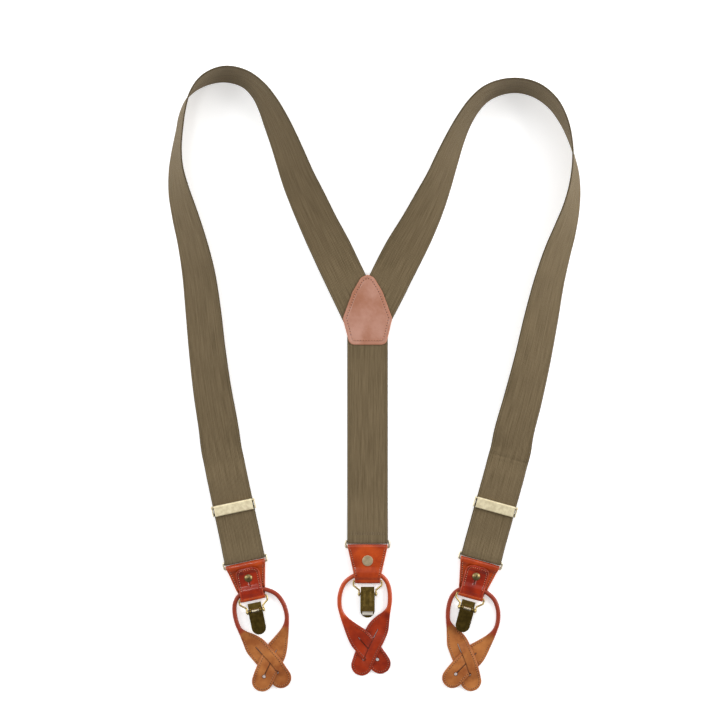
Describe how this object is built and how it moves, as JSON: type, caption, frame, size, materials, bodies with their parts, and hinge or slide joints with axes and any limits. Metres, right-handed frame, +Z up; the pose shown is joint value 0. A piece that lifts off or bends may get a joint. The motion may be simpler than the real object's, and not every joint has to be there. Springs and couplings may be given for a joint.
{
  "type": "suspenders",
  "caption": "Y-back suspenders lying flat: wide webbing straps, sliding adjusters, and leather ends with a sprung clip and a crossed button loop each.",
  "frame": {"origin": "centre of the footprint, on the surface that the suspenders lie on", "axes": "+Y from the clips towards the shoulders, +Z up from the surface, +X to the right as seen from above"},
  "size_m": [0.3564, 0.536, 0.035],
  "materials": {
    "webbing": "elastic webbing, olive khaki, fine lengthwise ribs, darker selvages",
    "leather": "polished red-brown leather, stitched along both sides",
    "tab_leather": "tan leather, darker at the edges",
    "patch_leather": "pinkish tan leather with a stitched edge",
    "pale_brass": "pale gold plate, rubbed",
    "antique_brass": "antique brass with dark recesses",
    "spring_steel": "drawn wire",
    "grip_plastic": "ribbed, matte"
  },
  "bodies": {
    "straps": {"back_strap": "webbing", "left_strap": "webbing", "right_strap": "webbing", "left_return_run": "webbing", "right_return_run": "webbing", "patch_outer": "patch_leather", "patch_inner": "patch_leather"},
    "back_ring": {"back_ring": "antique_brass"},
    "back_leather": {"back_leather": "leather", "back_stud_base": "antique_brass", "back_stud_head": "antique_brass"},
    "back_loop": {"back_loop_cord": "leather", "back_under_tab": "tab_leather", "back_over_tab": "tab_leather"},
    "back_hanger": {"back_clip_hanger": "antique_brass"},
    "back_clip": {"back_clip_body": "antique_brass", "back_clip_pin": "antique_brass", "back_clip_spring": "spring_steel", "back_grip_pad": "grip_plastic"},
    "back_lever": {"back_clip_lever": "antique_brass"},
    "left_ring": {"left_ring": "antique_brass"},
    "left_leather": {"left_leather": "leather", "left_stud_base": "antique_brass", "left_stud_head": "antique_brass"},
    "left_loop": {"left_loop_cord": "leather", "left_under_tab": "tab_leather", "left_over_tab": "tab_leather"},
    "left_hanger": {"left_clip_hanger": "antique_brass"},
    "left_clip": {"left_clip_body": "antique_brass", "left_clip_pin": "antique_brass", "left_clip_spring": "spring_steel", "left_grip_pad": "grip_plastic"},
    "left_lever": {"left_clip_lever": "antique_brass"},
    "right_ring": {"right_ring": "antique_brass"},
    "right_leather": {"right_leather": "leather", "right_stud_base": "antique_brass", "right_stud_head": "antique_brass"},
    "right_loop": {"right_loop_cord": "leather", "right_under_tab": "tab_leather", "right_over_tab": "tab_leather"},
    "right_hanger": {"right_clip_hanger": "antique_brass"},
    "right_clip": {"right_clip_body": "antique_brass", "right_clip_pin": "antique_brass", "right_clip_spring": "spring_steel", "right_grip_pad": "grip_plastic"},
    "right_lever": {"right_clip_lever": "antique_brass"},
    "left_adjuster": {"left_adjuster_frame": "pale_brass", "left_adjuster_pivot": "pale_brass"},
    "left_adjuster_plate": {"left_adjuster_plate": "pale_brass"},
    "right_adjuster": {"right_adjuster_frame": "pale_brass", "right_adjuster_pivot": "pale_brass"},
    "right_adjuster_plate": {"right_adjuster_plate": "pale_brass"}
  },
  "joints": [
    {"name": "back_ring_swing", "type": "hinge", "parent": "straps", "child": "back_ring", "pos_m": [-0.006, -0.13825, 0.00425], "axis": [-1, 0, 0], "range_deg": [-60, 60]},
    {"name": "back_leather_swing", "type": "hinge", "parent": "back_ring", "child": "back_leather", "pos_m": [-0.006, -0.14375, 0.00425], "axis": [-1, 0, 0], "range_deg": [-60, 60]},
    {"name": "back_loop_swing", "type": "hinge", "parent": "back_leather", "child": "back_loop", "pos_m": [-0.006, -0.1672, 0.00465], "axis": [-1, 0, 0], "range_deg": [-50, 50]},
    {"name": "back_hanger_swing", "type": "hinge", "parent": "back_leather", "child": "back_hanger", "pos_m": [-0.006, -0.1725, 0.00425], "axis": [-1, 0, 0], "range_deg": [-35, 35]},
    {"name": "back_clip_swing", "type": "hinge", "parent": "back_hanger", "child": "back_clip", "pos_m": [-0.006, -0.184, 0.00425], "axis": [-1, 0, 0], "range_deg": [-25, 25]},
    {"name": "back_lever_open", "type": "hinge", "parent": "back_clip", "child": "back_lever", "pos_m": [-0.006, -0.184, 0.00425], "axis": [-1, 0, 0], "range_deg": [0, 24], "stiffness_Nm_per_rad": 0.06, "springref_deg": -11.46},
    {"name": "left_ring_swing", "type": "hinge", "parent": "straps", "child": "left_ring", "pos_m": [-0.11207, -0.15371, 0.0041], "axis": [-0.9781, -0.2079, 0], "range_deg": [-60, 60]},
    {"name": "left_leather_swing", "type": "hinge", "parent": "left_ring", "child": "left_leather", "pos_m": [-0.11093, -0.15909, 0.0041], "axis": [-0.9781, -0.2079, 0], "range_deg": [-60, 60]},
    {"name": "left_loop_swing", "type": "hinge", "parent": "left_leather", "child": "left_loop", "pos_m": [-0.10605, -0.18203, 0.0037], "axis": [-0.9781, -0.2079, 0], "range_deg": [-50, 50]},
    {"name": "left_hanger_swing", "type": "hinge", "parent": "left_leather", "child": "left_hanger", "pos_m": [-0.10495, -0.18721, 0.0041], "axis": [-0.9781, -0.2079, 0], "range_deg": [-35, 35]},
    {"name": "left_clip_swing", "type": "hinge", "parent": "left_hanger", "child": "left_clip", "pos_m": [-0.10256, -0.19846, 0.0041], "axis": [-0.9781, -0.2079, 0], "range_deg": [-25, 25]},
    {"name": "left_lever_open", "type": "hinge", "parent": "left_clip", "child": "left_lever", "pos_m": [-0.10256, -0.19846, 0.0041], "axis": [0.9781, 0.2079, 0], "range_deg": [0, 24], "stiffness_Nm_per_rad": 0.06, "springref_deg": -11.46},
    {"name": "right_ring_swing", "type": "hinge", "parent": "straps", "child": "right_ring", "pos_m": [0.09204, -0.15255, 0.0041], "axis": [-0.9636, 0.2672, 0], "range_deg": [-60, 60]},
    {"name": "right_leather_swing", "type": "hinge", "parent": "right_ring", "child": "right_leather", "pos_m": [0.09057, -0.15785, 0.0041], "axis": [-0.9636, 0.2672, 0], "range_deg": [-60, 60]},
    {"name": "right_loop_swing", "type": "hinge", "parent": "right_leather", "child": "right_loop", "pos_m": [0.0843, -0.18045, 0.0037], "axis": [-0.9636, 0.2672, 0], "range_deg": [-50, 50]},
    {"name": "right_hanger_swing", "type": "hinge", "parent": "right_leather", "child": "right_hanger", "pos_m": [0.08288, -0.18555, 0.0041], "axis": [-0.9636, 0.2672, 0], "range_deg": [-35, 35]},
    {"name": "right_clip_swing", "type": "hinge", "parent": "right_hanger", "child": "right_clip", "pos_m": [0.07981, -0.19664, 0.0041], "axis": [-0.9636, 0.2672, 0], "range_deg": [-25, 25]},
    {"name": "right_lever_open", "type": "hinge", "parent": "right_clip", "child": "right_lever", "pos_m": [0.07981, -0.19664, 0.0041], "axis": [0.9636, -0.2672, 0], "range_deg": [0, 24], "stiffness_Nm_per_rad": 0.06, "springref_deg": -11.46},
    {"name": "left_adjuster_slide", "type": "slide", "parent": "straps", "child": "left_adjuster", "axis": [-0.2079, 0.9781, 0], "range_m": [-0.022, 0.02], "deforming": ["left_return_run"]},
    {"name": "left_plate_open", "type": "hinge", "parent": "left_adjuster", "child": "left_adjuster_plate", "pos_m": [-0.12219, -0.10612, 0.0051], "axis": [-0.9781, -0.2079, 0], "range_deg": [0, 70]},
    {"name": "right_adjuster_slide", "type": "slide", "parent": "straps", "child": "right_adjuster", "axis": [0.2672, 0.9636, 0], "range_m": [-0.022, 0.02], "deforming": ["right_return_run"]},
    {"name": "right_plate_open", "type": "hinge", "parent": "right_adjuster", "child": "right_adjuster_plate", "pos_m": [0.10504, -0.10567, 0.0051], "axis": [-0.9636, 0.2672, 0], "range_deg": [0, 70]}
  ]
}
